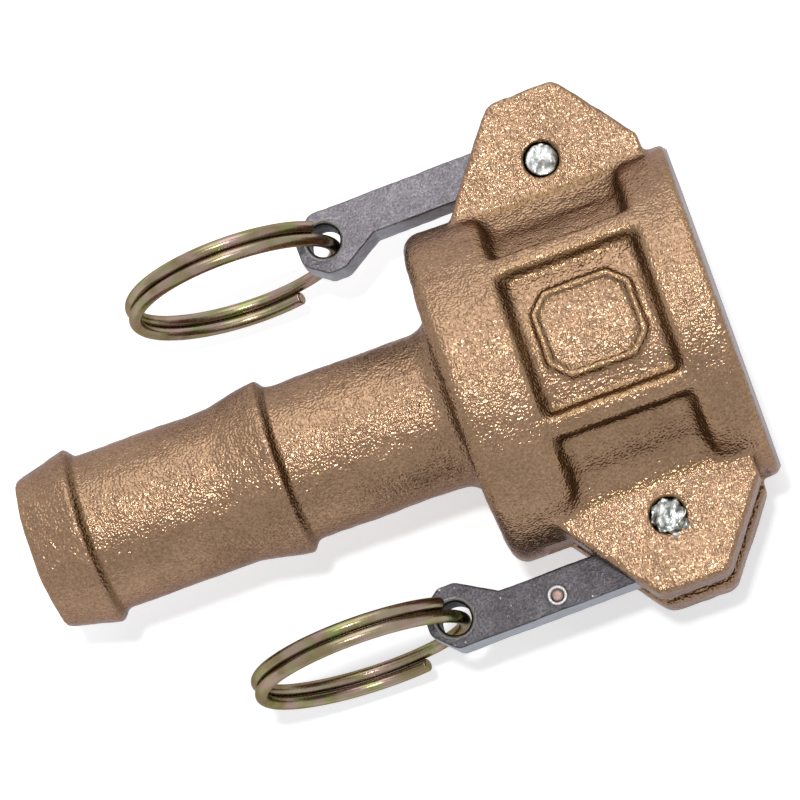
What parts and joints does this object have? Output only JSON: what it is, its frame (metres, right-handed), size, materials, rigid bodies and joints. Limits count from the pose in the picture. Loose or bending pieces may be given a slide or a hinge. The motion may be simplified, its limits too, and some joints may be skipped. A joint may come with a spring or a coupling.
{
  "type": "camlock coupling",
  "caption": "Cast camlock hose coupling: round female cup with raised frames, hinged cam arms with split pull rings, and a barbed hose tail.",
  "frame": {"origin": "centre of the mouth face of the cup, on the bore's axis", "axes": "+X along the bore out of the mouth, +Y towards the upper cam arm, +Z along the pivot pins, out of a framed pocket"},
  "size_m": [0.088, 0.0634, 0.042],
  "materials": {
    "cast_bronze": "rough sand-cast bronze, dull and grainy, with a bare machined rim",
    "arm_steel": "satin cast steel, fine grained",
    "pin_steel": "bright steel, its ends hammered over",
    "ring_steel": "spring steel with a yellow iridescent zinc coat",
    "seal_rubber": "plain black rubber"
  },
  "bodies": {
    "coupler": {"coupler_body": "cast_bronze", "gasket": "seal_rubber", "pivot_pin_upper": "pin_steel", "pivot_pin_lower": "pin_steel"},
    "upper_arm": {"cam_arm_upper": "arm_steel"},
    "lower_arm": {"cam_arm_lower": "arm_steel"},
    "upper_ring": {"pull_ring_upper": "ring_steel"},
    "lower_ring": {"pull_ring_lower": "ring_steel"}
  },
  "joints": [
    {"name": "upper_arm_pivot", "type": "hinge", "parent": "coupler", "child": "upper_arm", "pos_m": [-0.0145, 0.02295, 0], "axis": [0, 0, 1], "range_deg": [-110, 0]},
    {"name": "lower_arm_pivot", "type": "hinge", "parent": "coupler", "child": "lower_arm", "pos_m": [-0.0145, -0.02295, 0], "axis": [0, 0, 1], "range_deg": [0, 110]},
    {"name": "upper_ring_swing", "type": "hinge", "parent": "upper_arm", "child": "upper_ring", "pos_m": [-0.04207, 0.02355, 0], "axis": [0, 0, 1], "range_deg": [-90, 18]},
    {"name": "lower_ring_swing", "type": "hinge", "parent": "lower_arm", "child": "lower_ring", "pos_m": [-0.04202, -0.02515, 0], "axis": [0, 0, 1], "range_deg": [-18, 90]}
  ]
}
